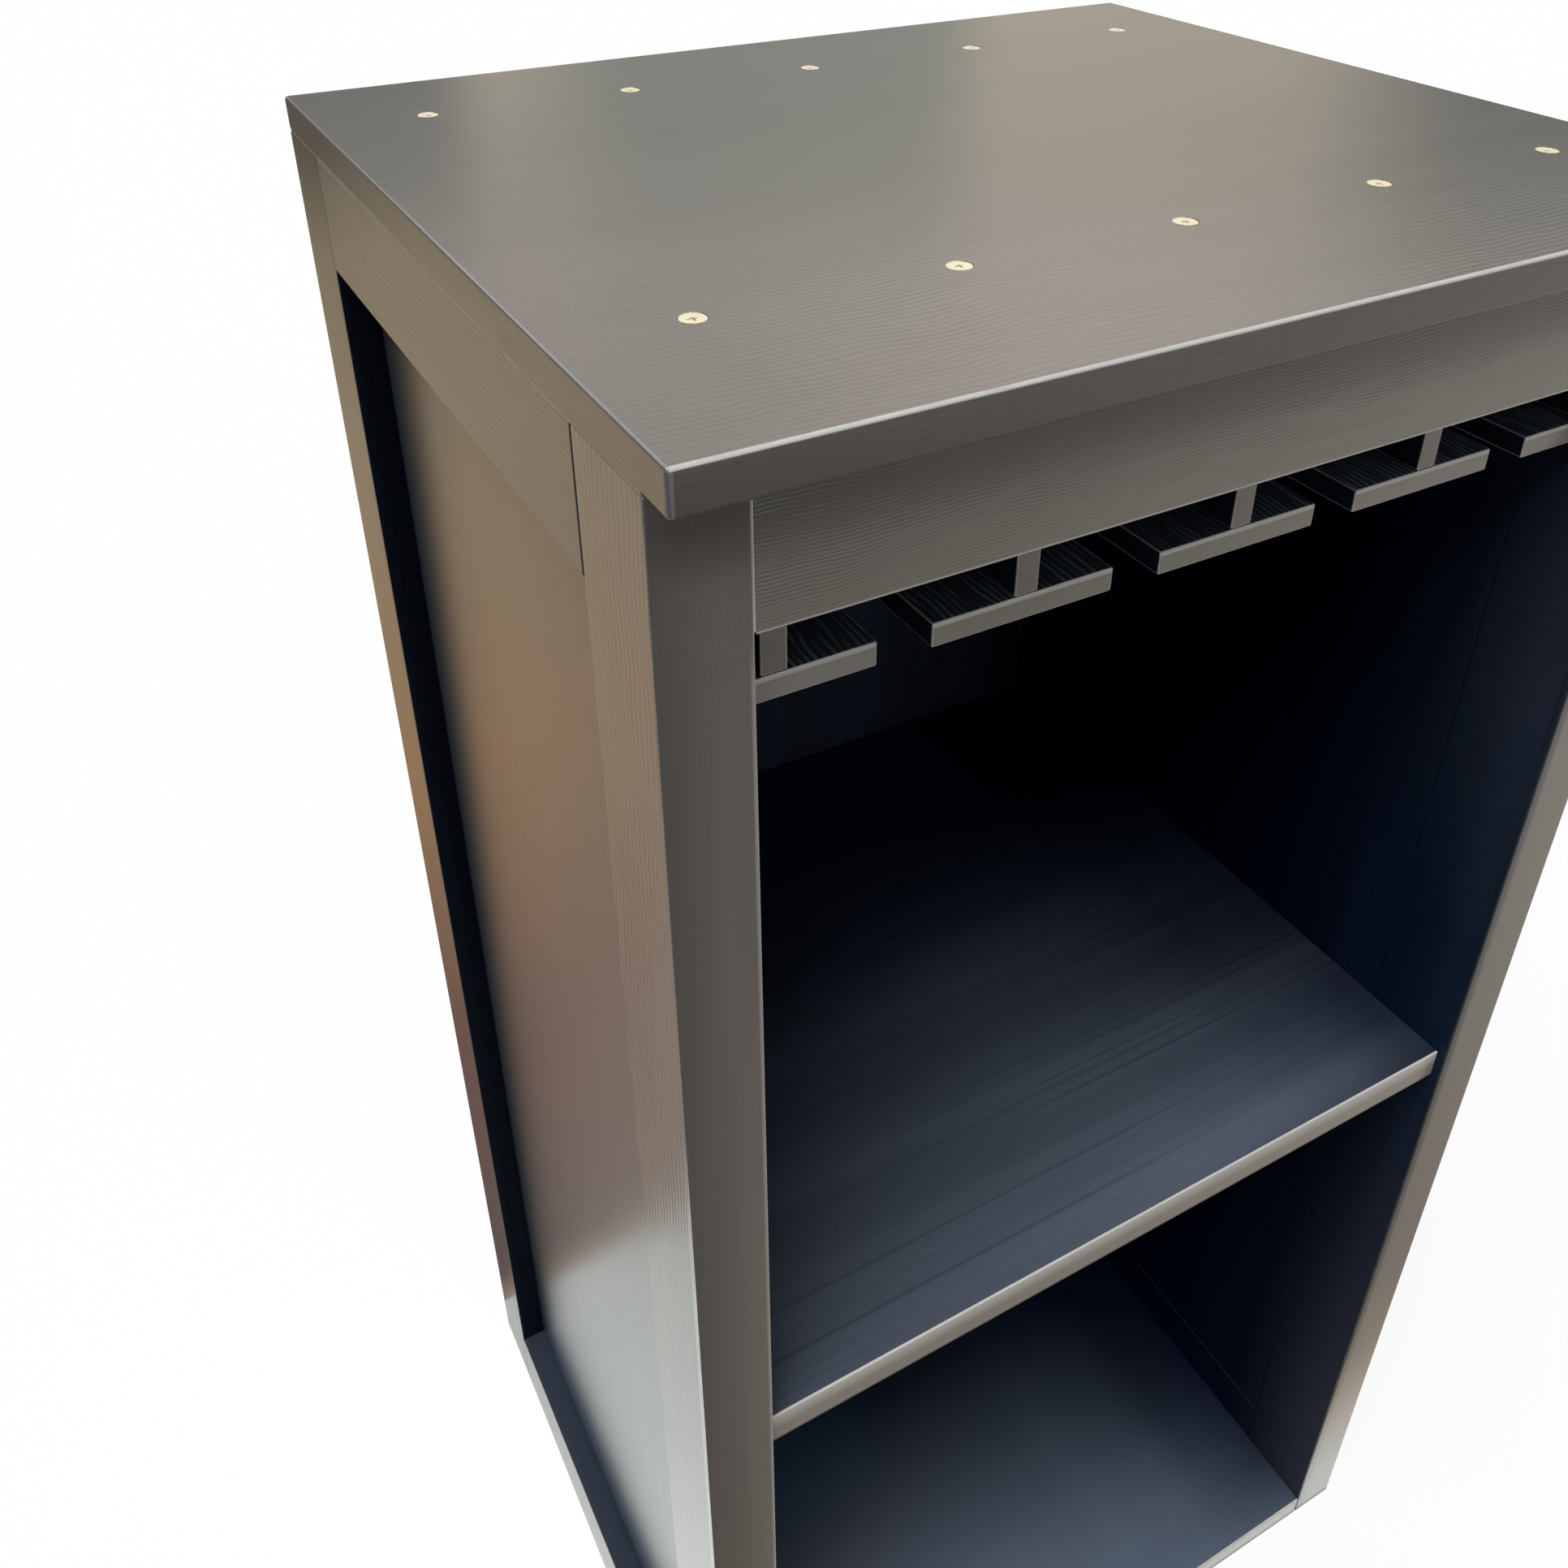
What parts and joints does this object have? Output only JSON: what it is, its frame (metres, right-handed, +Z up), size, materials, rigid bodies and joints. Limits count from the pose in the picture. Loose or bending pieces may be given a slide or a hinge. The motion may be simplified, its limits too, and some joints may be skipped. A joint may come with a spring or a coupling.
{
  "type": "wine cabinet",
  "caption": "Upright open-front wooden wine cabinet with framed side panels, a loose middle shelf and a rack of T-section rails under the top for hanging stemmed glasses.",
  "frame": {"origin": "on the floor, below the middle of the top panel, which is the middle of the part's footprint", "axes": "+Z up, +Y to the back, +X to the right as seen from the open front"},
  "size_m": [0.5, 0.445, 1],
  "materials": {
    "top_finish": "taupe stain under satin lacquer, fine wavy grain along the width",
    "frame_finish": "taupe stain under satin lacquer, grain along each member, blue-black inside faces",
    "panel_finish": "taupe stain under satin lacquer outside, blue-black inside, upright grain",
    "interior_finish": "blue-black stain, satin, with a taupe front edge",
    "rack_finish": "blue-black stain, satin, with taupe front ends",
    "screw_metal": "yellow zinc plate",
    "pin_metal": "turned, bright",
    "dowel_wood": "raw beech"
  },
  "bodies": {
    "cabinet": {"top_panel": "top_finish", "front_apron": "frame_finish", "back_panel": "interior_finish", "floor_panel": "interior_finish", "front_post_left": "frame_finish", "front_post_right": "frame_finish", "rear_post_left": "frame_finish", "rear_post_right": "frame_finish", "top_rail_left": "frame_finish", "top_rail_right": "frame_finish", "bottom_rail_left": "frame_finish", "bottom_rail_right": "frame_finish", "side_panel_left": "panel_finish", "side_panel_right": "panel_finish", "rack_web_1": "rack_finish", "rack_web_2": "rack_finish", "rack_web_3": "rack_finish", "rack_web_4": "rack_finish", "rack_web_5": "rack_finish", "rack_flange_1": "rack_finish", "rack_flange_2": "rack_finish", "rack_flange_3": "rack_finish", "rack_flange_4": "rack_finish", "rack_flange_5": "rack_finish", "rack_screw_1": "screw_metal", "rack_screw_2": "screw_metal", "rack_screw_3": "screw_metal", "rack_screw_4": "screw_metal", "rack_screw_5": "screw_metal", "rack_screw_6": "screw_metal", "rack_screw_7": "screw_metal", "rack_screw_8": "screw_metal", "rack_screw_9": "screw_metal", "rack_screw_10": "screw_metal", "flange_screw_1": "screw_metal", "flange_screw_2": "screw_metal", "flange_screw_3": "screw_metal", "flange_screw_4": "screw_metal", "flange_screw_5": "screw_metal", "flange_screw_6": "screw_metal", "flange_screw_7": "screw_metal", "flange_screw_8": "screw_metal", "flange_screw_9": "screw_metal", "flange_screw_10": "screw_metal", "shelf_pin_front_left": "pin_metal", "shelf_pin_front_right": "pin_metal", "shelf_pin_rear_left": "pin_metal", "shelf_pin_rear_right": "pin_metal", "top_dowel_1": "dowel_wood", "top_dowel_2": "dowel_wood", "top_dowel_3": "dowel_wood", "top_dowel_4": "dowel_wood", "floor_dowel_1": "dowel_wood", "floor_dowel_2": "dowel_wood", "floor_dowel_3": "dowel_wood", "floor_dowel_4": "dowel_wood"},
    "shelf": {"shelf": "interior_finish"}
  },
  "joints": [
    {"name": "shelf_slide", "type": "slide", "parent": "cabinet", "child": "shelf", "axis": [0, -1, 0], "range_m": [0, 0.44]}
  ]
}
